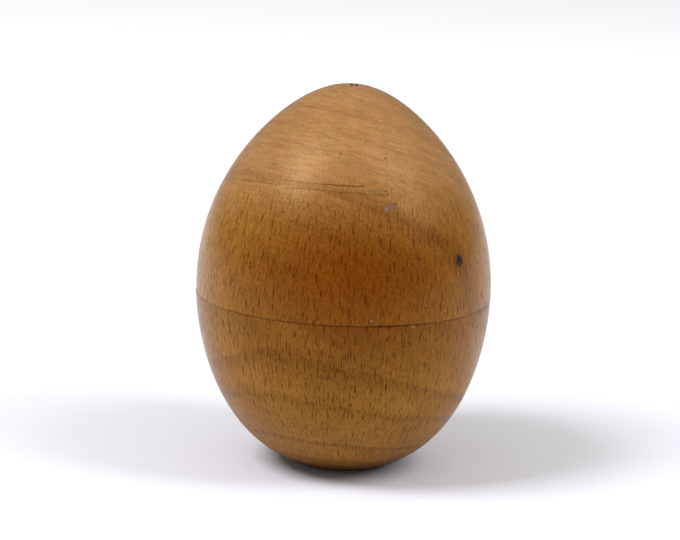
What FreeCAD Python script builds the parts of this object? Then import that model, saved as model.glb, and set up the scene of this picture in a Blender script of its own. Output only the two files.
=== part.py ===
import FreeCAD, Part
import math
import os

# A turned wooden egg shaker: two hollow shells that push together at a seam, with loose steel shot inside.
# Frame: millimetres, +Z up along the egg's turning axis, origin at the centre of the flat foot.

# Outside of the egg
EGG_WIDTH = 50.0  # across the widest level
EGG_LENGTH = 66.2  # of the whole egg form, before its foot is cut flat
EGG_FORM = (0.046, -0.040, 0.124, 0.015)  # weights of the cosine's powers, which blunt the foot end
FOOT_RADIUS = 6.5
SEAM_HEIGHT = 29.65  # above the foot
RIM_CHAMFER = 0.1  # softened edge on each side of the seam

# Hollow inside
WALL_AT_WAIST = 5.2
WALL_AT_FOOT = 5.5
WALL_AT_CROWN = 5.5

# Push fit between the shells
SPIGOT_RADIUS = 21.95
SPIGOT_HEIGHT = 5.0
FIT_CLEARANCE = 0.05  # radial
SOCKET_END_GAP = 0.4  # the rims meet before the spigot bottoms
LEAD_IN = 0.4  # chamfer that starts the spigot into the socket

# Two pin holes side by side at the crown
PIN_HOLE_RADIUS = 0.28
PIN_HOLE_DEPTH = 3.0  # below the crown
PIN_HOLE_SPACING = 0.75
PIN_HOLE_PLACE = (0.6, -0.85)  # x and y midway between the two

# Loose shot, lying in rings on the floor of the hollow
SHOT_RADIUS = 2.25
SHOT_SPACING = 4.65  # between neighbours, seen from above
SHOT_CLEARANCE = 0.1  # to the hollow's wall, at the floor and at the roof
SHOT_RINGS = ((1, 0.0), (6, 11.0), (12, 4.0))  # each ring's count of balls and its turn in degrees

CURVE_SPANS = 12  # in each curved stretch of a profile
SEARCH_STEPS = 60  # halvings that find a point on a form
SMALL_STEP = 1e-5  # of the parameter t, for a form's slope


def form_radius(t):
    """Radius of the unscaled egg form at t, which runs from 0 at the foot end to pi at the crown."""
    c = math.cos(t)
    return math.sin(t) * (1 + sum(a * c ** power for power, a in enumerate(EGG_FORM, start=1)))


FORM_PEAK = max(form_radius(math.radians(degrees / 10)) for degrees in range(1801))


def first_true(start, end, test):
    """The value between start and end where test turns true."""
    for _ in range(SEARCH_STEPS):
        middle = (start + end) / 2
        if test(middle):
            end = middle
        else:
            start = middle
    return end


class Egg:
    """An egg form turned about Z, with its widest radius and the heights of its two ends."""

    def __init__(self, radius, low, high):
        self.radius = radius
        self.low = low
        self.high = high

    def at(self, t):
        """Radius and height at t."""
        height = self.low + (self.high - self.low) * (1 - math.cos(t)) / 2
        return self.radius * form_radius(t) / FORM_PEAK, height

    def t_at_height(self, z):
        return math.acos(1 - 2 * (z - self.low) / (self.high - self.low))

    def slope(self, t):
        """Unit direction of the profile at t, as radius and height, going from the foot to the crown."""
        r0, z0 = self.at(t - SMALL_STEP)
        r1, z1 = self.at(t + SMALL_STEP)
        length = math.hypot(r1 - r0, z1 - z0)
        return (r1 - r0) / length, (z1 - z0) / length

    def inset(self, t, depth):
        """Radius and height of the point that lies depth inside the form, square to it at t."""
        r, z = self.at(t)
        dr, dz = self.slope(t)
        return r - depth * dz, z + depth * dr

    def curve(self, t_start, t_end):
        """The profile between two values of t, as one smooth edge."""
        ts = [t_start + (t_end - t_start) * i / CURVE_SPANS for i in range(CURVE_SPANS + 1)]
        way = math.copysign(1, t_end - t_start)
        spline = Part.BSplineCurve()
        spline.interpolate(
            Points=[profile_point(*self.at(t)) for t in ts],
            InitialTangent=profile_point(*self.slope(t_start)) * way,
            FinalTangent=profile_point(*self.slope(t_end)) * way,
        )
        return spline.toShape()


def stood_on_its_foot():
    """The outside form, lowered so that its foot is cut at height 0, and t at the foot's edge."""
    whole = Egg(EGG_WIDTH / 2, 0.0, EGG_LENGTH)
    t_foot = first_true(0.0, math.pi / 2, lambda t: whole.at(t)[0] > FOOT_RADIUS)
    cut_height = whole.at(t_foot)[1]
    return Egg(EGG_WIDTH / 2, -cut_height, EGG_LENGTH - cut_height), t_foot


def profile_point(r, z):
    return FreeCAD.Vector(r, 0, z)


def chain(*points):
    """Straight edges from each point to the next."""
    ends = [profile_point(*point) for point in points]
    return [Part.makeLine(a, b) for a, b in zip(ends, ends[1:])]


def turned(edges):
    """The solid that a closed profile sweeps round Z."""
    face = Part.Face(Part.Wire(edges))
    return face.revolve(FreeCAD.Vector(0, 0, 0), FreeCAD.Vector(0, 0, 1), 360)


OUTSIDE, T_FOOT = stood_on_its_foot()
HOLLOW = Egg(EGG_WIDTH / 2 - WALL_AT_WAIST, WALL_AT_FOOT, OUTSIDE.high - WALL_AT_CROWN)
SPIGOT_TOP = SEAM_HEIGHT + SPIGOT_HEIGHT
SOCKET_TOP = SPIGOT_TOP + SOCKET_END_GAP
SOCKET_RADIUS = SPIGOT_RADIUS + FIT_CLEARANCE


def lower_shell():
    """The blunt half, with the flat foot and the spigot round its mouth."""
    t_rim = OUTSIDE.t_at_height(SEAM_HEIGHT - RIM_CHAMFER)
    t_mouth = HOLLOW.t_at_height(SPIGOT_TOP)
    rim = OUTSIDE.at(t_rim)
    edges = chain((0, HOLLOW.low), (0, 0), (FOOT_RADIUS, 0))
    edges.append(OUTSIDE.curve(T_FOOT, t_rim))
    edges += chain(
        rim,
        (rim[0] - RIM_CHAMFER, SEAM_HEIGHT),
        (SPIGOT_RADIUS, SEAM_HEIGHT),
        (SPIGOT_RADIUS, SPIGOT_TOP - LEAD_IN),
        (SPIGOT_RADIUS - LEAD_IN, SPIGOT_TOP),
        HOLLOW.at(t_mouth),
    )
    edges.append(HOLLOW.curve(t_mouth, 0.0))
    return turned(edges)


def upper_shell():
    """The pointed half, with the socket in its mouth and the pin holes at its crown."""
    t_rim = OUTSIDE.t_at_height(SEAM_HEIGHT + RIM_CHAMFER)
    t_mouth = HOLLOW.t_at_height(SOCKET_TOP)
    rim = OUTSIDE.at(t_rim)
    edges = chain((0, OUTSIDE.high), (0, HOLLOW.high))
    edges.append(HOLLOW.curve(math.pi, t_mouth))
    edges += chain(
        HOLLOW.at(t_mouth),
        (SOCKET_RADIUS, SOCKET_TOP),
        (SOCKET_RADIUS, SEAM_HEIGHT + LEAD_IN),
        (SOCKET_RADIUS + LEAD_IN, SEAM_HEIGHT),
        (rim[0] - RIM_CHAMFER, SEAM_HEIGHT),
        rim,
    )
    edges.append(OUTSIDE.curve(t_rim, math.pi))
    shell = turned(edges)
    for side in (-1, 1):
        shell = shell.cut(pin_hole(side))
    return shell


def pin_hole(side):
    """The space of one of the two holes, which runs up clear of the crown."""
    x, y = PIN_HOLE_PLACE
    bottom = FreeCAD.Vector(x + side * PIN_HOLE_SPACING / 2, y, OUTSIDE.high - PIN_HOLE_DEPTH)
    return Part.makeCylinder(PIN_HOLE_RADIUS, 2 * PIN_HOLE_DEPTH, bottom)


def shot_heights(distance):
    """Heights of a ball's centre on the hollow's floor and under its roof, at a distance from the axis."""
    depth = SHOT_RADIUS + SHOT_CLEARANCE

    def reached(t):
        return HOLLOW.inset(t, depth)[0] > distance

    t_floor = first_true(0.0, math.pi / 2, reached)
    t_roof = first_true(math.pi, math.pi / 2, reached)
    return HOLLOW.inset(t_floor, depth)[1], HOLLOW.inset(t_roof, depth)[1]


def shot_places():
    """Each ball's centre at rest as x, y and z, and how far it can rise, ring by ring."""
    places = []
    for ring, (count, turn) in enumerate(SHOT_RINGS):
        distance = ring * SHOT_SPACING
        floor, roof = shot_heights(distance)
        for i in range(count):
            angle = math.radians(turn + 360 * i / count)
            places.append((distance * math.cos(angle), distance * math.sin(angle), floor, roof - floor))
    return places


def pieces():
    """Every piece of the shaker, by name."""
    named = {"lower_shell": lower_shell(), "upper_shell": upper_shell()}
    for number, (x, y, z, _) in enumerate(shot_places(), start=1):
        named[f"shot_{number:02d}"] = Part.makeSphere(SHOT_RADIUS, FreeCAD.Vector(x, y, z))
    return named


os.makedirs("parts", exist_ok=True)
for name, shape in pieces().items():
    shape.exportStep(f"parts/{name}.step")
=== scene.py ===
import math

import bmesh
import bpy
import numpy as np
from mathutils import Matrix, Vector


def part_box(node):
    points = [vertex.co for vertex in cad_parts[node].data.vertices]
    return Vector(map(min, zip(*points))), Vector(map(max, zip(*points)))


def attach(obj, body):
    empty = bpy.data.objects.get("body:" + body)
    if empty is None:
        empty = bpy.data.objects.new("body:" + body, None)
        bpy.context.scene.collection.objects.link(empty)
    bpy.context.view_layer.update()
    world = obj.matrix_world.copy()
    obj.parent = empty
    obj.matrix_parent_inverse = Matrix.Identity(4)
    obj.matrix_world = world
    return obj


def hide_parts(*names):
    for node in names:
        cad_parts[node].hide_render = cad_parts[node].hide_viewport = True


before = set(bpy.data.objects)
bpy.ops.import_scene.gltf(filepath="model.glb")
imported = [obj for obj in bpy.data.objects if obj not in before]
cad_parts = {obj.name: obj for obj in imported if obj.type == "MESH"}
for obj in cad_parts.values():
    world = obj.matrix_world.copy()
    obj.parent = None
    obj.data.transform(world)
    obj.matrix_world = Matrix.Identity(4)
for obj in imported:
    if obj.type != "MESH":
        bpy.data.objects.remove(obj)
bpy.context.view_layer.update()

# A turned beech egg shaker: an upper and a lower shell, push-fitted at a seam, with loose steel
# shot inside. Lengths in the meshes are metres, in the frame's own coordinates, and MM turns
# millimetres into them. Materials work in millimetres, from object coordinates.
# A bearing is an angle round the egg, from the front (-Y) towards +X.

MM = 0.001
TAU = 2 * math.pi

# The outside of the egg: its size is the frame's
EGG_FORM = (0.046, -0.040, 0.124, 0.015)  # weights of the cosine's powers in the turned outline
FOOT_CUT = 0.882 * MM  # how much of the whole egg form the flat foot takes off
EGG_RADIUS = (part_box("upper_shell")[1].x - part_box("upper_shell")[0].x) / 2
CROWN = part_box("upper_shell")[1].z
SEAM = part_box("upper_shell")[0].z
SPIGOT_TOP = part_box("lower_shell")[1].z
FOOT_RADIUS = 6.5 * MM
FOOT_HOLLOW = 0.25 * MM

# The fit and the hollow
SPIGOT_RADIUS = 21.95 * MM
SOCKET_RADIUS = 22.0 * MM
SOCKET_END_GAP = 0.4 * MM
LEAD_IN = 0.4 * MM
HOLLOW_RADIUS = 19.8 * MM
HOLLOW_LOW = 5.5 * MM
HOLLOW_HIGH = CROWN - 5.5 * MM

# Hand-made unevenness of the outside
BOW = 0.34  # per metre: how the middle line of the egg bends to +X away from BOW_HEIGHT
BOW_HEIGHT = 44 * MM
BOW_START = 0.05 * MM
BOW_FADE = 0.5 * MM  # how near the seam it fades, so that the two rims stay together
PIN_HOLES = ((0.225, -0.85), (0.975, -0.85))  # mm from the axis
PIN_HOLE_RADIUS = 0.28 * MM
PIN_HOLE_SLOPE = 0.07 * MM
PIN_HOLE_DEPTH = 1.6 * MM
UNEVEN = 0.02  # mm that the outside rises and falls round the egg

# How the wood has moved near the seam since it was turned: millimetres, and where
OVAL = {"upper": (0.03, 0.4), "lower": (-0.035, 0.1)}  # angle in radians
SIDEWAYS = {"upper": (0.02, 85), "lower": (-0.07, 88)}  # bearing in degrees
MOVED_HEIGHT = 9 * MM  # it fades with height from the seam

# How deep each edge of the seam is worn, in millimetres
WEAR = 0.045
WEAR_CHANGE = 0.02
LEAST_WEAR = 0.012
WORN_PLACES = (  # bearing and reach in degrees, and how much deeper there
    (19, 12, 0.075),
    (88, 26, 0.07),
    (205, 40, 0.05),
    (-68, 24, -0.045),
)
WEAR_REACH = 2.6  # how far from the seam, in depths of wear
WEAR_CURVE = 1.6  # over 1, the worn edge is rounded

# Marks of the turning tool in the hollow: millimetres deep, and radians from ring to ring
TOOL_MARKS = ((0.03, 1.9), (0.02, 0.61))

# Mesh density
AROUND = 400  # points round each turned ring
CROWN_SPAN, CROWN_RINGS = 0.14, 58  # a span of the egg form's t, and the rings in it
RIM_SPAN, RIM_RINGS, RIM_BUNCH = 0.02, 14, 0.8
SKIN_RINGS = {"upper": 78, "lower": 76}
FOOT_RINGS = 16
HOLLOW_RINGS = 78
FACE_RINGS, LEAD_IN_RINGS, WALL_RINGS, LIP_RINGS = 6, 2, 10, 5  # of the fit, from rim to hollow
SHARP_ANGLE = math.radians(32)

# The lie of the wood, in millimetres
UPPER_PITH = (3.75, 4.8)  # from the egg's axis
LOWER_PITH = (-0.8, -2.35)
RAY_RADIUS = 26.0  # where the rays' spacing is measured, from the pith

# How far the growth rings wander, slowly and quickly: the scale of the noise, and millimetres
RING_WANDER = ((0.055, 0.45), (0.5, 0.07))

# Late wood, from 0 at a ring's start to 1 at its end: where it darkens and where it stops, its
# strength and how much that changes, and radians of change from one ring to the next
LATE_RISE, LATE_FALL = (0.5, 0.93), (0.955, 1.0)
LATE_STRENGTH, LATE_TURN = (0.55, 0.45), 2.4

# How fast each field of the grain changes outwards, round the pith and upwards, and the detail and
# roughness of its noise
GRAIN = {
    "layers": (1.3, 0.07, 0.04, 4.0, 0.6),
    "fine_layers": (5.0, 0.30, 0.15, 2.0, 0.5),
    "fibres": (0.8, 2.8, 0.45, 3.0, 0.65),
    "pores": (3.5, 5.5, 2.2, 2.0, 0.6),
}
CLOUDS, PATCHES = (0.12, 3.0), (0.55, 2.0)  # the scale and detail of slower noise

# Sizes of ray fleck: spacing across and up, half width and half length, and strength
FLECKS = (
    (1.15, 2.7, 0.120, 0.92, 1.0),
    (0.85, 1.8, 0.085, 0.55, 0.75),
    (0.42, 1.0, 0.055, 0.30, 0.36),
)
# Each fleck's share of those: the least, and what chance adds
FLECK_WIDTHS, FLECK_LENGTHS, FLECK_STRENGTHS = (0.6, 0.8), (0.45, 1.1), (0.55, 0.45)
FLECK_EDGE = (1.2, 0.65)  # in half sizes, where it is none and where it is full
FLECK_WANDER, WANDER_RATES = 0.5, (0.12, 0.10)  # mm, and how fast it changes across and up

# Between these heights the outside turns from long grain to end grain, and the colour of the upper
# shell into the crown's
ENDWISE = (45.0, 54.0)
CROWN_TONE = (41.5, 54.5)
ENDWISE_FLECKS = 0.1  # how much of the flecks is left in end grain

# Colours of the varnished wood
WOOD = {"upper": (0.333, 0.155, 0.023), "lower": (0.274, 0.117, 0.014)}
CROWN_WOOD = (0.352, 0.172, 0.056)
DEEP, PALE = (0.45, 0.30, 0.10), (1.55, 1.70, 1.90)  # the grain's extremes, times the wood's
RING_EDGE = {"upper": 0.11, "lower": 0.22}  # how much late wood darkens the tone
FLECK_STRENGTH = {"upper": 0.84, "lower": 1.0}

# How much each field of the wood adds to the tone, or to the relief in millimetres, and how much
# more it adds in end grain
VARNISHED_TONE = {
    "layers": (0.14, 0.03),
    "fine_layers": (0.10, 0.16),
    "fibres": (0.20, -0.18),
    "pores": (0.40, -0.10),
    "clouds": (0.08, 0.0),
}
VARNISHED_RELIEF = {
    "fibres": (0.006, 0.0),
    "pores": (0.0105, 0.005),
    "fine_layers": (0.0, 0.004),
    "clouds": (0.010, 0.0),
}
BARE_TONE = {
    "layers": (0.22, 0.0),
    "fine_layers": (0.14, 0.0),
    "fibres": (0.16, 0.0),
    "pores": (0.20, 0.0),
    "clouds": (0.16, 0.0),
    "late": (-0.30, 0.0),
}
BARE_RELIEF = {"fibres": (0.006, 0.0), "pores": (0.008, 0.0)}
FLECK_RELIEF = -0.010

# The varnish
VARNISH_ROUGHNESS = 0.25
CLOUDS_ROUGHNESS, PORES_ROUGHNESS, FLECKS_ROUGHNESS = 0.04, 0.04, 0.12
DIRTY_HEIGHTS, DIRTY_ROUGHNESS = (13.0, 1.0), 0.35  # how much rougher it is towards the foot
VARNISH_IOR = 1.40
VARNISH_SPECULAR = 0.31
VARNISH_TINT = (1.0, 0.70, 0.27, 1)

# Colours that multiply the wood's
# darker and redder: in front partly painted shade, partly handling
HANDLED_AND_SHADE = (0.51, 0.272, 0.055, 1)
FLECK = (0.31, 0.15, 0.01, 1)
OLIVE, ORANGE = (0.97, 1.05, 0.92, 1), (1.03, 0.95, 0.90, 1)
THREAD = (0.36, 0.32, 0.24, 1)
# grime on the seam, and also the painted shade round the foot
GRIME_AND_SHADE = (0.16, 0.11, 0.08, 1)
PATCH = (1.18, 1.30, 1.60, 1)
FLANK = (1.13, 1.12, 0.95, 1)
DARK_RING = (0.62, 0.50, 0.30, 1)

# Painted zones, in millimetres, with bearings in degrees. A fade is where a zone is none and where
# it is full.

# The handled colour, which in front is partly painted shade and partly handling, and behind is handling
# alone
HELD_MIDDLE = (3, 36.3)  # bearing and height
HELD_HALF = (47, 10.8)  # half its size in degrees and millimetres, which its fades are measured in
HELD_FADE = (2.1, 0.15)
BEHIND_FADE = (85, 140)  # bearings
BEHIND_HEIGHT_FADE = (2.1, 0.2)
BEHIND_STRENGTH = 0.6

OLIVE_FADE, ORANGE_FADE = (-0.1, 0.7), (0.1, -0.7)  # by the patchiness of the wood

# The darkest growth ring
RING_DEPTH = 25.2  # from the pith
RING_FADE = (1.1, 0.1)  # from that depth, to either side
RING_BEARINGS, RING_SOFTNESS = (14, 52), 0.2  # the soft edge in radians
RING_STRENGTH = 0.20

# Painted shade in a pin hole and on its front lip
HOLE_SHADE = (0.016, 0.010, 0.006, 1)
HOLE_HALF = (0.32, 0.62)  # half sizes, which its fade is measured in
HOLE_FADE = (1.15, 0.75)
HOLE_HEIGHT_FADE = (60.0, 61.0)
HOLE_FORWARD = 0.25  # how far it lies towards the front of the hole

# The flanks of the lower shell
FLANK_MIDDLE = 8  # the bearing midway between them
FLANK_FADE = (30, 64)  # from that bearing, to either side
FLANK_HEIGHT_FADE = (31.0, 20.0)

# The pale patch under the seam, a band on a slant
PATCH_SLANT = (14.0, 1.1, 0.5)  # by bearing in radians, by height, and by the wood's patchiness
PATCH_HEIGHT = 27.0  # where the slant's height is measured from
PATCH_BAND = (-5.4, -1.9, 0.8)  # from, to, and soft edge
PATCH_HEIGHT_FADE = (24.2, 26.0)
PATCH_STRENGTH = 0.7

# Painted shade round the foot, by height with the wood's patchiness added, and its strength
FOOT_FADE, FOOT_STRENGTH = (5.5, 0.3), 0.85

# The seam's dark line, and the smear round it
LINE_FADE, LINE_RAGGED, LINE_NOISE = (0.19, 0.04), 0.07, (0.8, 3.0)
SMEAR_FADE, SMEAR_RAGGED = (1.5, 0.1), 5.0  # this many times as ragged
SMEAR_BEARINGS, SMEAR_STRENGTH = (68, 105, 8), 0.45  # from, to, and soft edge

# Colours of the bare wood
BARE_WOOD = ((0.32, 0.175, 0.085, 1), (0.68, 0.47, 0.285, 1))
RUBBED_WOOD = ((0.31, 0.155, 0.060, 1), (0.59, 0.365, 0.180, 1))
BARE_FLECK = (0.20, 0.09, 0.04, 1)
BARE_FLECK_STRENGTH = 0.60
BARE_ROUGHNESS, RUBBED_ROUGHNESS, BARE_PORES_ROUGHNESS = 0.72, 0.5, 0.06
BARE_IOR = 1.42

# The finest marks of the tool: ripples by the slope from a point on the axis
RIPPLES = 190.0  # radians of ripple in a radian of slope
RIPPLE_HEIGHT = 31.0
RIPPLE_WANDER, RIPPLE_TONE, RIPPLE_RELIEF = 3.0, 0.03, 0.004

# Small marks on the outside: bearing in degrees, height, half width and half height in millimetres,
# how ragged, strength, and colour
MARKS = {
    "upper": (
        (50.6, 39.0, 1.35, 1.25, 0.25, 0.60, (0.100, 0.034, 0.008, 1)),
        (50.6, 39.0, 0.76, 0.94, 0.22, 1.00, (0.020, 0.011, 0.008, 1)),
        (50.9, 38.5, 0.30, 0.26, 0.20, 0.45, (0.100, 0.060, 0.050, 1)),
        (20.4, 48.4, 1.15, 0.66, 0.50, 0.42, (0.100, 0.080, 0.058, 1)),
        (13.0, 50.70, 1.90, 0.34, 0.35, 0.34, (0.150, 0.095, 0.036, 1)),
        (17.7, 48.0, 0.42, 0.34, 0.30, 0.52, (0.175, 0.160, 0.150, 1)),
        (22.6, 48.8, 0.34, 0.38, 0.30, 0.70, (0.085, 0.045, 0.022, 1)),
        (18.6, 50.6, 0.17, 0.17, 0.20, 0.90, (0.060, 0.028, 0.006, 1)),
        (19.3, 50.2, 0.20, 0.17, 0.20, 0.85, (0.070, 0.035, 0.008, 1)),
        (29.2, 51.9, 0.16, 0.16, 0.20, 0.60, (0.090, 0.045, 0.012, 1)),
        (-4.5, 56.0, 0.30, 0.22, 0.20, 0.50, (0.150, 0.060, 0.020, 1)),
        (22.0, 55.4, 0.30, 0.34, 0.20, 0.55, (0.130, 0.050, 0.016, 1)),
        (10.6, 30.6, 0.16, 0.13, 0.15, 0.50, (0.500, 0.320, 0.170, 1)),
        (62.9, 44.6, 0.26, 0.22, 0.20, 0.70, (0.110, 0.030, 0.010, 1)),
        (73.5, 33.1, 0.22, 0.34, 0.20, 0.65, (0.120, 0.036, 0.016, 1)),
        (-76.6, 33.1, 0.24, 0.26, 0.20, 0.65, (0.120, 0.036, 0.016, 1)),
        (148.0, 42.5, 0.55, 0.42, 0.35, 0.60, (0.080, 0.030, 0.010, 1)),
        (-131.0, 36.2, 0.20, 0.30, 0.20, 0.70, (0.090, 0.036, 0.010, 1)),
        (-158.0, 51.0, 0.30, 0.22, 0.25, 0.55, (0.120, 0.050, 0.015, 1)),
    ),
    "lower": (
        (27.0, 29.3, 0.40, 0.20, 0.50, 0.35, (0.400, 0.220, 0.080, 1)),
        (-26.5, 8.6, 0.34, 0.14, 0.30, 0.55, (0.060, 0.036, 0.012, 1)),
        (118.0, 20.5, 0.32, 0.45, 0.35, 0.60, (0.090, 0.036, 0.010, 1)),
        (-142.0, 12.5, 0.24, 0.24, 0.25, 0.65, (0.080, 0.030, 0.010, 1)),
        (171.0, 24.0, 0.20, 0.30, 0.25, 0.55, (0.110, 0.050, 0.016, 1)),
    ),
}

MARK_FADE = (1.25, 0.6)  # in half sizes from a mark's middle
MARK_NOISE = 0.9  # its scale on a mark of half width 1, and finer on a smaller one

# Dark threads and cracks: two ends as (bearing, height), bow and half width in millimetres, and
# strength
STROKES = {
    "upper": (
        ((-34.2, 51.40), (-10.0, 51.42), 0.06, 0.14, 0.55),
        ((-12.0, 51.42), (8.6, 51.30), 0.04, 0.17, 0.85),
        ((-34.3, 50.65), (-33.9, 51.45), 0.0, 0.11, 0.55),
        ((-72.0, 49.80), (-34.4, 50.65), 0.15, 0.15, 0.40),
        ((-31.0, 50.28), (-5.0, 50.40), 0.25, 0.14, 0.55),
        ((-5.0, 50.40), (19.0, 49.95), 0.10, 0.26, 0.40),
        ((-51.5, 30.5), (-50.2, 48.5), 0.15, 0.09, 0.30),
        ((152.0, 43.0), (-168.0, 47.0), 0.8, 0.12, 0.45),
    ),
    "lower": (
        ((-47.2, 25.4), (-48.6, 29.7), 0.05, 0.15, 0.85),
        ((128.0, 14.0), (133.0, 27.0), 0.20, 0.09, 0.35),
    ),
}

STROKE_ENDS = (0.03, 0.97, 0.03)  # where along itself a stroke starts and ends, and its soft edge
STROKE_TAPER = 0.3  # the full strength's half width, as a share of the half width
STROKE_WOBBLE, STROKE_NOISE = 0.14, (0.7, 3.0, 0.6)  # mm, and the noise's scale, detail and roughness

# How dark the seam is at each bearing
SEAM_GRIME = (
    (-180, 0.70), (-120, 0.85), (-84, 0.30), (-54, 0.12), (-45, 0.55),
    (0, 0.52), (10, 0.58), (14, 0.95), (25, 1.00), (29, 0.45),
    (58, 0.45), (66, 0.90), (100, 0.90), (140, 0.55), (180, 0.70),
)

# The steel shot. Noise is given by its scale, detail and roughness.
STEEL, STAINED_STEEL = (0.56, 0.56, 0.57, 1), (0.36, 0.32, 0.28, 1)
FILM_NOISE = (0.8, 3.0)
STAIN_FILM = (0.0, 0.9)  # how thick the film is where the stain is none and full
STEEL_ROUGHNESS, FILM_ROUGHNESS, SCRATCH_ROUGHNESS = 0.31, 0.09, 0.09
SCRATCH_RATES, SCRATCH_NOISE = (1.2, 9.0, 2.0), (1.0, 4.0, 0.7)
SCRATCH_RELIEF = 0.002
BALL_SUBDIVISIONS = 4
DING_COUNT = 22
DING_DEPTHS = (0.001, 0.006)  # in radii of the ball

# The floor
FLOOR_HALF = 4.0
FLOOR_COLOUR, FLOOR_ROUGHNESS, FLOOR_SPECULAR = (0.86, 0.86, 0.85, 1), 0.9, 0.1
FLOOR_GLOW = (0.97, 0.975, 1.0, 1)
FLOOR_GLOW_FADE, FLOOR_GLOW_STRENGTH = (0.03, 0.5), 0.34  # by metres from the egg's axis

# The camera
CAMERA_AIM = Vector((-0.678, 0.0, 33.47)) * MM
CAMERA_AWAY = 400 * MM
CAMERA_ELEVATION = math.radians(12.12)
CAMERA_ROLL = math.radians(2.0)
CAMERA_LENS, CAMERA_SENSOR = 124.8, 36.0
CAMERA_CLIP = (0.01, 50.0)

# The lights: azimuth (0 is towards the camera, 90 towards +X) and elevation in degrees, distance
# and size in metres, and power in watts
WINDOWS = {
    "window_left": (-65, 51, 1.0, (0.36, 0.42), 7.6),
    "window_right": (71, 43, 1.0, (0.30, 0.66), 4.9),
}
DAYLIGHT = (0.96, 0.98, 1.16)
ROOM_COLOUR = (1.0, 0.985, 0.92, 1)

# The room: an axis of the direction looked in, where its glow changes, and its strength before and
# after
ROOM = (
    ("Y", -0.75, -0.25, 0.30, 0.0),
    ("X", -0.80, -0.30, 0.26, 0.0),
    ("X", 0.30, 0.80, 0.0, 0.17),
    ("Y", 0.40, 0.85, 0.0, 0.30),
    ("Z", 0.55, 0.90, 0.0, 0.58),
)


# ---------------------------------------------------------------- turned meshes


def form_radius(t):
    c = math.cos(t)
    return math.sin(t) * (1 + sum(a * c ** power for power, a in enumerate(EGG_FORM, start=1)))


FORM_PEAK = max(form_radius(math.radians(degrees / 10)) for degrees in range(1801))


def egg_point(radius, low, high, t):
    """Radius and height on an egg form at t, from 0 at its low end to pi at its high one."""
    height = low + (high - low) * (1 - math.cos(t)) / 2
    return radius * form_radius(t) / FORM_PEAK, height


def outside(t):
    return egg_point(EGG_RADIUS, -FOOT_CUT, CROWN, t)


def hollow(t):
    return egg_point(HOLLOW_RADIUS, HOLLOW_LOW, HOLLOW_HIGH, t)


def t_at(form, z):
    """The t at which a form reaches height z."""
    low, high = form(0.0)[1], form(math.pi)[1]
    return math.acos(1 - 2 * (z - low) / (high - low))


def spaced(start, end, count, bunch=1.0):
    """count values from start to end, crowded to the start by a bunch over 1, or else to the end."""
    return [start + (end - start) * (i / (count - 1)) ** bunch for i in range(count)]


def along(form, start, end, count, bunch=1.0):
    return [form(t) for t in spaced(start, end, count, bunch)]


def straight(a, b, count):
    """Points from a to b, without a itself."""
    return [tuple(p + (q - p) * i / count for p, q in zip(a, b)) for i in range(1, count + 1)]


def smooth_peak(x, middle, width):
    """1 at the middle, falling smoothly to 0 at width to either side."""
    d = np.clip(np.abs(x - middle) / width, 0, 1)
    return (1 - d * d) ** 2


def slow_noise(angle, seed, waves=7):
    """A smooth periodic random wobble round the egg, about -1 to 1."""
    rng = np.random.default_rng(seed)
    total = np.zeros_like(angle)
    for k in range(1, waves + 1):
        total += rng.normal() * np.sin(k * angle + rng.uniform(0, TAU)) / math.sqrt(k)
    return total / 2


def revolve(name, rings, shift, zones):
    """A closed turned mesh. rings are (radius, height, zone) from one pole to the other, shift places
    the points of each ring, and zones holds the material of each zone."""
    angles = np.arange(AROUND) * TAU / AROUND
    pole = np.zeros(1)
    first, last = rings[0][1], rings[-1][1]
    points, faces, face_zones = [], [], []
    points.append(shift(pole, pole, first, 0)[0])
    for index, (r, z, _) in enumerate(rings[1:-1], start=1):
        points.extend(shift(angles, np.full(AROUND, r), z, index))
    points.append(shift(pole, pole, last, len(rings) - 1)[0])
    end = len(points) - 1

    def ring(k, i):
        return 1 + (k - 1) * AROUND + i % AROUND

    for i in range(AROUND):
        faces.append((0, ring(1, i + 1), ring(1, i)))
        face_zones.append(rings[1][2])
    for k in range(1, len(rings) - 2):
        for i in range(AROUND):
            faces.append((ring(k, i), ring(k, i + 1), ring(k + 1, i + 1), ring(k + 1, i)))
            face_zones.append(rings[k + 1][2])
    for i in range(AROUND):
        faces.append((end, ring(len(rings) - 2, i), ring(len(rings) - 2, i + 1)))
        face_zones.append(rings[-1][2])
    mesh = bpy.data.meshes.new(name)
    mesh.from_pydata([tuple(p) for p in points], [], faces)
    for material in zones:
        mesh.materials.append(material)
    mesh.polygons.foreach_set("material_index", face_zones)
    mesh.polygons.foreach_set("use_smooth", [True] * len(faces))
    mesh.validate()
    mesh.update()
    mesh.set_sharp_from_angle(angle=SHARP_ANGLE)
    piece = bpy.data.objects.new(name, mesh)
    bpy.context.scene.collection.objects.link(piece)
    return piece


def bowed(angle, r, z, amount):
    """Points of a ring at these bearings, in radians, moved sideways by amount of the egg's bow."""
    lean = amount * (BOW * (z - BOW_HEIGHT) ** 2 - BOW_START)
    return np.stack([r * np.sin(angle) + lean, -r * np.cos(angle), np.full_like(angle, z)], axis=1)


VARNISH, RAW, FIT = range(3)  # the zones of a shell: outside, hollow, and spigot or socket


def rim_wear(angle):
    """How deep each side of the seam is worn away, round the egg, in metres."""
    degrees = np.degrees((angle + math.pi) % TAU - math.pi)
    wear = WEAR + WEAR_CHANGE * slow_noise(angle, seed=5, waves=12)
    for bearing, reach, deeper in WORN_PLACES:
        wear += deeper * smooth_peak(degrees, bearing, reach)
    return np.clip(wear, LEAST_WEAR, None) * MM


def moved(part, angle):
    """How far out the wood of a half has moved at the seam since it was turned, in millimetres."""
    oval, oval_angle = OVAL[part]
    sideways, bearing = SIDEWAYS[part]
    facing = np.cos(angle - math.radians(bearing))
    if part == "lower":
        facing = np.maximum(facing, 0)
    return oval * np.cos(2 * (angle - oval_angle)) + sideways * facing


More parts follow.
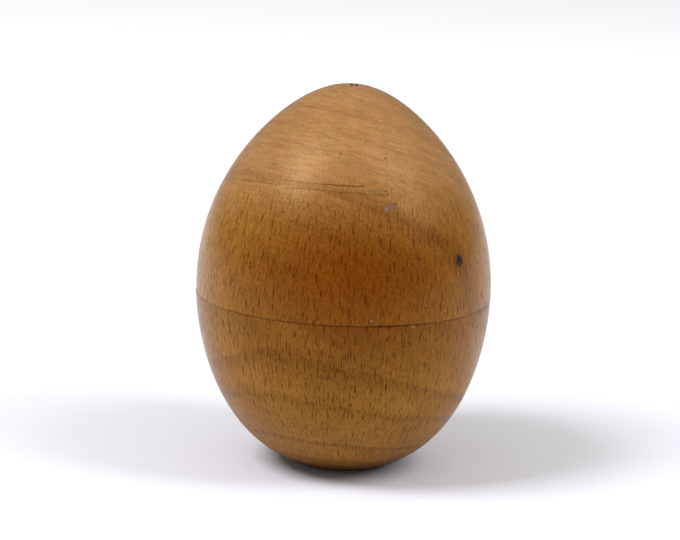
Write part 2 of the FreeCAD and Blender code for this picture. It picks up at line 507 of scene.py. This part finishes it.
def shell_rings(part):
    """A shell's profile as (radius, height, zone), and where in it the fit and the hollow start."""
    t_seam = t_at(outside, SEAM)
    if part == "upper":
        skin = along(outside, math.pi, math.pi - CROWN_SPAN, CROWN_RINGS)[:-1]
        skin += along(outside, math.pi - CROWN_SPAN, t_seam + RIM_SPAN, SKIN_RINGS[part])[:-1]
        skin += along(outside, t_seam + RIM_SPAN, t_seam, RIM_RINGS, RIM_BUNCH)
        socket_end = SPIGOT_TOP + SOCKET_END_GAP
        t_mouth, t_end = t_at(hollow, socket_end), math.pi
        corners = (
            ((SOCKET_RADIUS + LEAD_IN, SEAM), FACE_RINGS),
            ((SOCKET_RADIUS, SEAM + LEAD_IN), LEAD_IN_RINGS),
            ((SOCKET_RADIUS, socket_end), WALL_RINGS),
        )
    else:
        foot = spaced(0, FOOT_RADIUS, FOOT_RINGS)[:-1]
        skin = [(r, FOOT_HOLLOW * (1 - (r / FOOT_RADIUS) ** 4)) for r in foot]
        skin += along(outside, t_at(outside, 0.0), t_seam - RIM_SPAN, SKIN_RINGS[part])[:-1]
        skin += along(outside, t_seam - RIM_SPAN, t_seam, RIM_RINGS, RIM_BUNCH)
        t_mouth, t_end = t_at(hollow, SPIGOT_TOP), 0.0
        corners = (
            ((SPIGOT_RADIUS, SEAM), FACE_RINGS),
            ((SPIGOT_RADIUS, SPIGOT_TOP - LEAD_IN), WALL_RINGS),
            ((SPIGOT_RADIUS - LEAD_IN, SPIGOT_TOP), LEAD_IN_RINGS),
        )
    fit = [skin[-1]]
    for corner, count in (*corners, (hollow(t_mouth), LIP_RINGS)):
        fit += straight(fit[-1], corner, count)
    fit = fit[1:]
    inner = along(hollow, t_mouth, t_end, HOLLOW_RINGS)[1:]
    rings = [(r, z, VARNISH) for r, z in skin]
    rings += [(r, z, FIT) for r, z in fit]
    rings += [(r, z, RAW) for r, z in inner]
    return rings, len(skin), len(skin) + len(fit)


def shell(part, zones):
    """One half of the egg, with its worn rim, uneven outside and tool-marked hollow."""
    rings, fit_start, hollow_start = shell_rings(part)

    def shift(angle, r, z, index):
        if index >= hollow_start:
            marks = sum(deep * MM * math.sin(index * turn) for deep, turn in TOOL_MARKS)
            return bowed(angle, np.maximum(r - abs(marks) * (r > 0), 0), z, 0)
        if index >= fit_start:
            return bowed(angle, r, z, 0)
        from_seam = abs(z - SEAM)
        near = math.exp(-from_seam / MOVED_HEIGHT)
        uneven = UNEVEN * slow_noise(angle, seed=11) * (r / EGG_RADIUS)
        radius = r + (moved(part, angle) * near + uneven) * MM * (r > 0)
        worn = rim_wear(angle)
        reach = np.clip(1 - from_seam / (WEAR_REACH * worn), 0, 1)
        radius = radius - worn * reach ** WEAR_CURVE
        points = bowed(angle, radius, z, min(1.0, from_seam / BOW_FADE))
        if part == "upper":
            for x, y in PIN_HOLES:
                away = np.hypot(points[:, 0] - x * MM, points[:, 1] - y * MM)
                sink = np.clip((PIN_HOLE_RADIUS - away) / PIN_HOLE_SLOPE, 0, 1)
                points[:, 2] -= PIN_HOLE_DEPTH * sink
        return points

    return revolve(f"{part}_half", rings, shift, zones)


# ---------------------------------------------------------------- material nodes


class Nodes:
    """Builds a material's nodes. Values may be numbers or sockets."""

    def __init__(self, name):
        self.material = bpy.data.materials.new(name)
        self.material.use_nodes = True
        self.tree = self.material.node_tree
        self.shader = self.tree.nodes["Principled BSDF"]

    def put(self, socket, value):
        if isinstance(value, bpy.types.NodeSocket):
            self.tree.links.new(value, socket)
        else:
            socket.default_value = value

    def node(self, kind, inputs=(), **settings):
        made = self.tree.nodes.new(kind)
        for key, value in settings.items():
            setattr(made, key, value)
        for key, value in dict(inputs).items():
            self.put(made.inputs[key], value)
        return made

    def math(self, operation, *values, clamp=False):
        made = self.tree.nodes.new("ShaderNodeMath")
        made.operation = operation
        made.use_clamp = clamp
        for socket, value in zip(made.inputs, values):
            self.put(socket, value)
        return made.outputs[0]

    def add(self, *values):
        total = values[0]
        for value in values[1:]:
            total = self.math("ADD", total, value)
        return total

    def sub(self, a, b):
        return self.math("SUBTRACT", a, b)

    def mul(self, *values):
        total = values[0]
        for value in values[1:]:
            total = self.math("MULTIPLY", total, value)
        return total

    def div(self, a, b):
        return self.math("DIVIDE", a, b)

    def step(self, value, low, high, to_low=0.0, to_high=1.0):
        """A smooth step from to_low at low to to_high at high."""
        made = self.node("ShaderNodeMapRange", interpolation_type="SMOOTHSTEP")
        for socket, number in zip(made.inputs, (value, low, high, to_low, to_high)):
            self.put(socket, number)
        return made.outputs["Result"]

    def join(self, x, y, z=0.0):
        return self.node("ShaderNodeCombineXYZ", {"X": x, "Y": y, "Z": z}).outputs[0]

    def split(self, vector):
        return self.node("ShaderNodeSeparateXYZ", {"Vector": vector}).outputs

    def noise(self, vector, scale=1.0, detail=2.0, roughness=0.5):
        """Noise about 0, mostly within -1 to 1."""
        made = self.node(
            "ShaderNodeTexNoise",
            {"Vector": vector, "Scale": scale, "Detail": detail, "Roughness": roughness},
        )
        return self.mul(self.sub(made.outputs["Fac"], 0.5), 2.5)

    def mix(self, amount, a, b, blend="MIX"):
        made = self.node("ShaderNodeMix", data_type="RGBA", blend_type=blend)
        self.put(made.inputs["Factor"], amount)
        self.put(made.inputs["A"], a)
        self.put(made.inputs["B"], b)
        return made.outputs["Result"]

    def shade(self, amount, base, factor):
        """The base colour multiplied by factor, as far as amount goes from 0 to 1."""
        return self.mix(amount, base, factor, blend="MULTIPLY")

    def curve(self, value, points):
        """A smooth curve through (value, height) points, in order, with heights from 0 to 1."""
        first, last = points[0][0], points[-1][0]
        ahead = self.div(self.sub(value, first), last - first)
        made = self.node("ShaderNodeFloatCurve", {"Value": ahead})
        spots = made.mapping.curves[0].points
        for _ in points[2:]:
            spots.new(0.5, 0.5)
        for spot, (x, height) in zip(spots, points):
            spot.location = ((x - first) / (last - first), height)
        made.mapping.update()
        return made.outputs["Value"]

    def varied(self, value, start, change):
        """start, and value times change on top."""
        return self.add(start, self.mul(value, change))

    def distance(self, a, b):
        """Length of (a, b)."""
        return self.math("SQRT", self.add(self.mul(a, a), self.mul(b, b)))

    def apart(self, a, b):
        return self.math("ABSOLUTE", self.sub(a, b))

    def band(self, value, low, high, soft):
        """1 while value lies between low and high, with soft edges."""
        rise = self.step(value, low - soft, low)
        return self.mul(rise, self.step(value, high, high + soft, 1.0, 0.0))

    def millimetres(self):
        """Object coordinates in millimetres."""
        place = self.node("ShaderNodeTexCoord").outputs["Object"]
        scaled = self.node("ShaderNodeVectorMath", {0: place, "Scale": 1 / MM}, operation="SCALE")
        return scaled.outputs[0]

    def finish(self, base, roughness, relief):
        """The material with this colour and roughness, and relief in millimetres."""
        bump = self.node("ShaderNodeBump", {"Height": relief, "Distance": MM, "Strength": 1.0})
        self.put(self.shader.inputs["Base Color"], base)
        self.put(self.shader.inputs["Roughness"], roughness)
        self.put(self.shader.inputs["Normal"], bump.outputs["Normal"])
        return self.material


class Figure:
    """The lie of the wood in one shell, in millimetres: where its pith stands, how its growth rings
    fall, and which of those have the darkest edges."""

    def __init__(self, pith, ring_start, ring_width, ring_phase, seed):
        self.pith = pith
        self.ring_start = ring_start
        self.ring_width = ring_width
        self.ring_phase = ring_phase
        self.seed = seed


FIGURES = {
    "upper": Figure(UPPER_PITH, ring_start=25.5, ring_width=3.35, ring_phase=3.97, seed=0.0),
    "lower": Figure(LOWER_PITH, ring_start=21.98, ring_width=2.02, ring_phase=5.0, seed=37.0),
}


class Wood:
    """The fields of a beech figure, as sockets, for the materials to colour."""

    def __init__(self, n, figure):
        self.n = n
        self.figure = figure
        self.place = n.millimetres()
        self.x, self.y, self.z = n.split(self.place)
        self.polar()
        self.rings()
        self.grain()
        self.rays()

    def polar(self):
        n, (px, py) = self.n, self.figure.pith
        x = n.sub(self.x, px)
        y = n.sub(py, self.y)
        self.from_pith = n.distance(x, y)
        self.around = n.mul(n.math("ARCTAN2", x, y), RAY_RADIUS)
        self.bearing = n.math("ARCTAN2", self.x, n.mul(self.y, -1.0))
        self.from_axis = n.distance(self.x, self.y)
        seed = self.figure.seed
        self.seeded = n.join(n.add(self.x, seed), n.add(self.y, seed), self.z)

    def rings(self):
        """Growth rings, darkest at the outer edge of each."""
        n, figure = self.n, self.figure
        wander = (n.mul(n.noise(self.seeded, scale, 2.0), reach) for scale, reach in RING_WANDER)
        self.depth = n.add(self.from_pith, *wander)
        count = n.div(n.sub(self.depth, figure.ring_start), figure.ring_width)
        index = n.math("FLOOR", count)
        part = n.math("FRACT", count)
        strength = n.math("SINE", n.add(n.mul(index, LATE_TURN), figure.ring_phase))
        self.late = n.mul(
            n.step(part, *LATE_RISE),
            n.step(part, *LATE_FALL, 1.0, 0.0),
            n.varied(strength, *LATE_STRENGTH),
        )

    def grain(self):
        self.layers = self.stretched(*GRAIN["layers"])
        self.fine_layers = self.stretched(*GRAIN["fine_layers"])
        self.fibres = self.stretched(*GRAIN["fibres"])
        self.pores = self.stretched(*GRAIN["pores"])
        self.clouds = self.n.noise(self.seeded, *CLOUDS)
        self.patches = self.n.noise(self.seeded, *PATCHES)

    def stretched(self, outwards, round_pith, upwards, detail, roughness):
        n = self.n
        depth, around = n.mul(self.depth, outwards), n.mul(self.around, round_pith)
        return n.noise(n.join(depth, around, n.mul(self.z, upwards)), 1.0, detail, roughness)

    def rays(self):
        """Flecks where rays reach the surface: 1 in the middle of the strongest, and 0 between them."""
        self.flecks = 0.0
        for number, (*size, strength) in enumerate(FLECKS):
            layer = self.ray_layer(*size, self.figure.seed + 5 * number)
            self.flecks = self.n.math("MAXIMUM", self.flecks, self.n.mul(layer, strength))

    def ray_layer(self, across, upward, half_width, half_length, seed):
        """Spindle-shaped ends of rays, one in each cell of a jittered grid over the wood."""
        n = self.n
        slow_across, slow_up = (n.mul(way, rate) for way, rate in zip((self.around, self.z), WANDER_RATES))
        wander = n.noise(n.join(slow_across, slow_up, seed), detail=1.0)
        u = n.div(n.add(self.around, n.mul(wander, FLECK_WANDER)), across)
        w = n.div(n.add(self.z, seed), upward)
        cells = n.node(
            "ShaderNodeTexVoronoi",
            {"Vector": n.join(u, w, seed), "Scale": 1.0, "Randomness": 1.0},
            voronoi_dimensions="2D",
        )
        spot = n.split(cells.outputs["Position"])
        chance = n.split(cells.outputs["Color"])
        du = n.mul(n.apart(u, spot[0]), across)
        dw = n.mul(n.apart(w, spot[1]), upward)
        width = n.mul(n.varied(chance[1], *FLECK_WIDTHS), half_width)
        length = n.mul(n.varied(chance[0], *FLECK_LENGTHS), half_length)
        reach = n.add(n.div(du, width), n.math("POWER", n.div(dw, length), 2.0))
        return n.mul(n.step(reach, *FLECK_EDGE), n.varied(chance[2], *FLECK_STRENGTHS))

    def weighed(self, weights, endwise=0.0):
        """The sum of the fields in a table of weights."""
        n = self.n
        terms = []
        for field, (weight, more_endwise) in weights.items():
            if more_endwise:
                weight = n.add(weight, n.mul(endwise, more_endwise))
            terms.append(n.mul(getattr(self, field), weight))
        return n.add(*terms)


def toned(n, tone, middle):
    """A wood colour that deepens where tone is under 0, and pales where it is over."""
    deep, pale = (tuple(c * k for c, k in zip(middle, by)) + (1,) for by in (DEEP, PALE))
    return n.mix(n.math("ADD", tone, 0.5, clamp=True), deep, pale)


def varnished(name, figure, part):
    """Beech under an old satin varnish, with the marks of use on that half."""
    n = Nodes(name)
    wood = Wood(n, figure)
    endwise = n.step(wood.z, *ENDWISE)
    tone = n.add(wood.weighed(VARNISHED_TONE, endwise), n.mul(wood.late, -RING_EDGE[part]))
    base = toned(n, tone, WOOD[part])
    if part == "upper":
        base = n.mix(n.step(wood.z, *CROWN_TONE), base, toned(n, tone, CROWN_WOOD))
    # darker in front, partly painted shade and partly handling; behind, handling only
    base = n.shade(handling_and_shade(n, wood), base, HANDLED_AND_SHADE)
    base = n.shade(n.step(wood.patches, *OLIVE_FADE), base, OLIVE)
    base = n.shade(n.step(wood.patches, *ORANGE_FADE), base, ORANGE)
    flecks = n.mul(wood.flecks, n.sub(1.0, n.mul(endwise, 1.0 - ENDWISE_FLECKS)))
    base = n.shade(n.mul(flecks, FLECK_STRENGTH[part]), base, FLECK)
    base = PAINTERS[part](n, wood, base)
    for stroke in STROKES[part]:
        base = n.shade(stroke_mask(n, wood, *stroke), base, THREAD)
    for bearing, height, across, up, ragged, strength, colour in MARKS[part]:
        away = mark_distance(n, wood, bearing, height, across, up, ragged)
        base = n.mix(n.step(away, *MARK_FADE, 0.0, strength), base, colour)
    base = paint_seam(n, wood, base)
    roughness = n.add(
        VARNISH_ROUGHNESS,
        n.mul(wood.clouds, CLOUDS_ROUGHNESS),
        n.mul(wood.pores, PORES_ROUGHNESS),
        n.mul(flecks, FLECKS_ROUGHNESS),
        n.step(wood.z, *DIRTY_HEIGHTS, 0.0, DIRTY_ROUGHNESS),
    )
    relief = n.add(n.mul(flecks, FLECK_RELIEF), wood.weighed(VARNISHED_RELIEF, endwise))
    n.shader.inputs["IOR"].default_value = VARNISH_IOR
    n.shader.inputs["Specular IOR Level"].default_value = VARNISH_SPECULAR
    n.shader.inputs["Specular Tint"].default_value = VARNISH_TINT
    return n.finish(base, roughness, relief)


def handling_and_shade(n, wood):
    """Where the egg is darker and redder: most in front, where it is partly painted shade and partly years
    of handling, and less behind, from handling alone.
    """
    side = n.div(n.sub(wood.bearing, math.radians(HELD_MIDDLE[0])), math.radians(HELD_HALF[0]))
    rise = n.div(n.sub(wood.z, HELD_MIDDLE[1]), HELD_HALF[1])
    front = n.step(n.distance(side, rise), *HELD_FADE)
    away = n.math("ABSOLUTE", wood.bearing)
    back = n.mul(
        n.step(away, *np.radians(BEHIND_FADE)),
        n.step(n.math("ABSOLUTE", rise), *BEHIND_HEIGHT_FADE),
        BEHIND_STRENGTH,
    )
    return n.math("MAXIMUM", front, back)


def radius_at(height):
    """The outside radius at a height, both in millimetres."""
    return outside(t_at(outside, height * MM))[0] / MM


def bearing_from(n, wood, start):
    """The bearing from a start in degrees, as radians either way of it."""
    return n.math("WRAP", n.sub(wood.bearing, math.radians(start)), math.pi, -math.pi)


def stroke_mask(n, wood, start, end, bow, half_width, strength):
    """A thin line on the outside from start to end, fading at both."""
    radius = radius_at((start[1] + end[1]) / 2)
    turn = (end[0] - start[0] + 180) % 360 - 180
    dx, dz = math.radians(turn) * radius, end[1] - start[1]
    length = math.hypot(dx, dz)
    x, z = n.mul(bearing_from(n, wood, start[0]), radius), n.sub(wood.z, start[1])
    onward = n.div(n.add(n.mul(x, dx), n.mul(z, dz)), length ** 2)
    across = n.div(n.sub(n.mul(z, dx), n.mul(x, dz)), length)
    arch = n.mul(n.mul(onward, n.sub(1.0, onward)), 4 * bow)
    wobble = n.mul(n.noise(wood.place, *STROKE_NOISE), STROKE_WOBBLE)
    away = n.math("ABSOLUTE", n.add(n.sub(across, arch), wobble))
    thread = n.step(away, half_width, STROKE_TAPER * half_width)
    return n.mul(thread, n.band(onward, *STROKE_ENDS), strength)


def mark_distance(n, wood, bearing, height, across, up, ragged):
    """How far each place is from a mark on the outside: 1 at its edge, and 0 at its middle."""
    side = n.mul(bearing_from(n, wood, bearing), radius_at(height))
    rise = n.sub(wood.z, height)
    edge = n.mul(n.noise(wood.place, MARK_NOISE / across ** 0.5, 3.0), ragged)
    return n.add(n.distance(n.div(side, across), n.div(rise, up)), edge)


def paint_upper(n, wood, base):
    """The dark growth ring that runs down to the knot, and painted shade in the pin holes at the crown."""
    ring = n.step(n.apart(wood.depth, RING_DEPTH), *RING_FADE)
    ring = n.mul(ring, n.band(wood.bearing, *np.radians(RING_BEARINGS), RING_SOFTNESS))
    base = n.shade(n.mul(ring, RING_STRENGTH), base, DARK_RING)
    # painted shade in each pin hole, reaching forward onto its lip
    for x, y in PIN_HOLES:
        side = n.div(n.sub(wood.x, x), HOLE_HALF[0])
        ahead = n.div(n.sub(wood.y, y - HOLE_FORWARD), HOLE_HALF[1])
        dark = n.mul(n.step(n.distance(side, ahead), *HOLE_FADE), n.step(wood.z, *HOLE_HEIGHT_FADE))
        base = n.mix(dark, base, HOLE_SHADE)
    return base


def paint_lower(n, wood, base):
    """Paler flanks, a pale patch under the seam, and painted shade round the foot."""
    away = n.apart(wood.bearing, math.radians(FLANK_MIDDLE))
    flank = n.mul(n.step(away, *np.radians(FLANK_FADE)), n.step(wood.z, *FLANK_HEIGHT_FADE))
    base = n.shade(flank, base, FLANK)
    by_bearing, by_height, by_patches = PATCH_SLANT
    slant = n.add(
        n.mul(wood.bearing, by_bearing),
        n.mul(n.sub(wood.z, PATCH_HEIGHT), by_height),
        n.mul(wood.patches, by_patches),
    )
    patch = n.mul(n.band(slant, *PATCH_BAND), n.step(wood.z, *PATCH_HEIGHT_FADE))
    base = n.shade(n.mul(patch, PATCH_STRENGTH), base, PATCH)
    # painted shade round the foot, darker towards the bottom
    foot_shade = n.step(n.add(wood.z, wood.patches), *FOOT_FADE, 0.0, FOOT_STRENGTH)
    return n.shade(foot_shade, base, GRIME_AND_SHADE)


PAINTERS = {"upper": paint_upper, "lower": paint_lower}


def paint_seam(n, wood, base):
    """The dark line where the halves meet, with the grime that has spread from it at the right."""
    degrees = n.mul(wood.bearing, 180 / math.pi)
    away = n.apart(wood.z, SEAM / MM)
    ragged = n.mul(n.noise(wood.place, *LINE_NOISE), LINE_RAGGED)
    line = n.mul(n.step(n.add(away, ragged), *LINE_FADE), n.curve(degrees, SEAM_GRIME))
    smear = n.step(n.add(away, n.mul(ragged, SMEAR_RAGGED)), *SMEAR_FADE)
    smear = n.mul(smear, n.band(degrees, *SMEAR_BEARINGS), SMEAR_STRENGTH)
    return n.shade(n.math("MAXIMUM", line, smear), base, GRIME_AND_SHADE)


def bare(name, figure, rubbed):
    """Unvarnished beech: dry in the hollow, or rubbed smooth where the shells fit."""
    n = Nodes(name)
    wood = Wood(n, figure)
    slant = n.math("ARCTAN2", wood.from_axis, n.sub(wood.z, RIPPLE_HEIGHT))
    ripples = n.math("SINE", n.add(n.mul(slant, RIPPLES), n.mul(wood.clouds, RIPPLE_WANDER)))
    tone = n.add(wood.weighed(BARE_TONE), n.mul(ripples, RIPPLE_TONE))
    dark, light = RUBBED_WOOD if rubbed else BARE_WOOD
    base = n.mix(n.math("ADD", tone, 0.5, clamp=True), dark, light)
    base = n.mix(n.mul(wood.flecks, BARE_FLECK_STRENGTH), base, BARE_FLECK)
    roughness = RUBBED_ROUGHNESS if rubbed else BARE_ROUGHNESS
    roughness = n.add(roughness, n.mul(wood.pores, BARE_PORES_ROUGHNESS))
    relief = n.add(
        n.mul(ripples, RIPPLE_RELIEF),
        wood.weighed(BARE_RELIEF),
        n.mul(wood.flecks, FLECK_RELIEF),
    )
    n.shader.inputs["IOR"].default_value = BARE_IOR
    return n.finish(base, roughness, relief)


def shot_steel():
    """Polished steel, dulled and scratched by rattling."""
    n = Nodes("shot_steel")
    place = n.millimetres()
    film = n.noise(place, *FILM_NOISE)
    stretched = n.join(*(n.mul(way, rate) for way, rate in zip(n.split(place), SCRATCH_RATES)))
    scratch = n.noise(stretched, *SCRATCH_NOISE)
    base = n.mix(n.step(film, *STAIN_FILM), STEEL, STAINED_STEEL)
    roughness = n.add(
        STEEL_ROUGHNESS,
        n.mul(film, FILM_ROUGHNESS),
        n.mul(scratch, SCRATCH_ROUGHNESS),
    )
    n.shader.inputs["Metallic"].default_value = 1.0
    return n.finish(base, roughness, n.mul(scratch, SCRATCH_RELIEF))


# ---------------------------------------------------------------- shot


def shot_ball(node, seed, material):
    """One steel ball with the small flats that rattling leaves on it."""
    low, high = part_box(node)
    centre, radius = (low + high) / 2, (high.x - low.x) / 2
    rng = np.random.default_rng(seed)
    bm = bmesh.new()
    bmesh.ops.create_icosphere(bm, subdivisions=BALL_SUBDIVISIONS, radius=radius)
    dings = rng.normal(size=(DING_COUNT, 3))
    dings /= np.linalg.norm(dings, axis=1, keepdims=True)
    depths = rng.uniform(*DING_DEPTHS, size=DING_COUNT)
    for vertex in bm.verts:
        way = np.array(vertex.co.normalized())
        planes = radius * (1 - depths) / np.maximum(dings @ way, 1e-6)
        vertex.co = Vector(way * min(radius, planes.min()))
    turn = Matrix.Rotation(rng.uniform(0, TAU), 4, Vector(rng.normal(size=3)).normalized())
    bmesh.ops.transform(bm, matrix=Matrix.Translation(centre) @ turn, verts=bm.verts)
    mesh = bpy.data.meshes.new(f"{node}_ball")
    bm.to_mesh(mesh)
    bm.free()
    mesh.materials.append(material)
    mesh.polygons.foreach_set("use_smooth", [True] * len(mesh.polygons))
    ball = bpy.data.objects.new(f"{node}_ball", mesh)
    bpy.context.scene.collection.objects.link(ball)
    return ball


# ---------------------------------------------------------------- stage


def add_camera():
    cos_e, sin_e = math.cos(CAMERA_ELEVATION), math.sin(CAMERA_ELEVATION)
    back = Vector((0, -cos_e, sin_e))
    level_up = Vector((0, sin_e, cos_e))
    level_right = Vector((1, 0, 0))
    up = level_up * math.cos(CAMERA_ROLL) - level_right * math.sin(CAMERA_ROLL)
    right = level_right * math.cos(CAMERA_ROLL) + level_up * math.sin(CAMERA_ROLL)
    data = bpy.data.cameras.new("camera")
    data.lens = CAMERA_LENS
    data.sensor_width = CAMERA_SENSOR
    data.clip_start, data.clip_end = CAMERA_CLIP
    camera = bpy.data.objects.new("camera", data)
    turn = Matrix((right, up, back)).transposed().to_4x4()
    camera.matrix_world = Matrix.Translation(CAMERA_AIM + back * CAMERA_AWAY) @ turn
    bpy.context.scene.collection.objects.link(camera)
    bpy.context.scene.camera = camera


def add_floor():
    mesh = bpy.data.meshes.new("floor")
    low, high = -FLOOR_HALF, FLOOR_HALF
    corners = [(low, low, 0), (high, low, 0), (high, high, 0), (low, high, 0)]
    mesh.from_pydata(corners, [], [(0, 1, 2, 3)])
    n = Nodes("floor_paper")
    n.shader.inputs["Base Color"].default_value = FLOOR_COLOUR
    n.shader.inputs["Roughness"].default_value = FLOOR_ROUGHNESS
    n.shader.inputs["Specular IOR Level"].default_value = FLOOR_SPECULAR
    n.shader.inputs["Emission Color"].default_value = FLOOR_GLOW
    x, y, _ = n.split(n.node("ShaderNodeTexCoord").outputs["Object"])
    glow = n.step(n.distance(x, y), *FLOOR_GLOW_FADE, 0.0, FLOOR_GLOW_STRENGTH)
    n.put(n.shader.inputs["Emission Strength"], glow)
    mesh.materials.append(n.material)
    floor = bpy.data.objects.new("floor", mesh)
    bpy.context.scene.collection.objects.link(floor)


def add_world():
    """A pale room, brightest overhead, dimmer in front, behind and to the left, and dimmest to the
    right."""
    world = bpy.data.worlds.new("room")
    world.use_nodes = True
    bpy.context.scene.world = world
    tree = world.node_tree
    coord = tree.nodes.new("ShaderNodeTexCoord")
    split = tree.nodes.new("ShaderNodeSeparateXYZ")
    tree.links.new(coord.outputs["Generated"], split.inputs[0])
    total = None
    for axis, *numbers in ROOM:
        glow = tree.nodes.new("ShaderNodeMapRange")
        glow.interpolation_type = "SMOOTHSTEP"
        tree.links.new(split.outputs[axis], glow.inputs["Value"])
        for socket, number in zip(glow.inputs[1:5], numbers):
            socket.default_value = number
        if total is None:
            total = glow.outputs["Result"]
            continue
        joined = tree.nodes.new("ShaderNodeMath")
        tree.links.new(total, joined.inputs[0])
        tree.links.new(glow.outputs["Result"], joined.inputs[1])
        total = joined.outputs[0]
    background = tree.nodes["Background"]
    background.inputs["Color"].default_value = ROOM_COLOUR
    tree.links.new(total, background.inputs["Strength"])


def add_light(name, azimuth, elevation, away, size, power):
    """A soft light that faces the egg's middle."""
    a, e = math.radians(azimuth), math.radians(elevation)
    way = Vector((math.sin(a) * math.cos(e), -math.cos(a) * math.cos(e), math.sin(e)))
    data = bpy.data.lights.new(name, "AREA")
    data.shape = "RECTANGLE"
    data.size, data.size_y = size
    data.energy = power
    data.color = DAYLIGHT
    light = bpy.data.objects.new(name, data)
    light.location = CAMERA_AIM + way * away
    light.rotation_mode = "QUATERNION"
    light.rotation_quaternion = way.to_track_quat("Z", "Y")
    bpy.context.scene.collection.objects.link(light)


def build():
    add_camera()
    add_floor()
    add_world()
    for name, numbers in WINDOWS.items():
        add_light(name, *numbers)
    for part, figure in FIGURES.items():
        zones = (
            varnished(f"{part}_varnished_beech", figure, part),
            bare(f"{part}_bare_beech", figure, rubbed=False),
            bare(f"{part}_rubbed_beech", figure, rubbed=True),
        )
        half = shell(part, zones)
        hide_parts(f"{part}_shell")
        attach(half, f"{part}_shell")
    steel = shot_steel()
    shot = sorted(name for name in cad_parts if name.startswith("shot_"))
    for number, node in enumerate(shot):
        ball = shot_ball(node, number, steel)
        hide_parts(node)
        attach(ball, node)


bpy.context.scene.view_settings.view_transform = "Standard"
build()
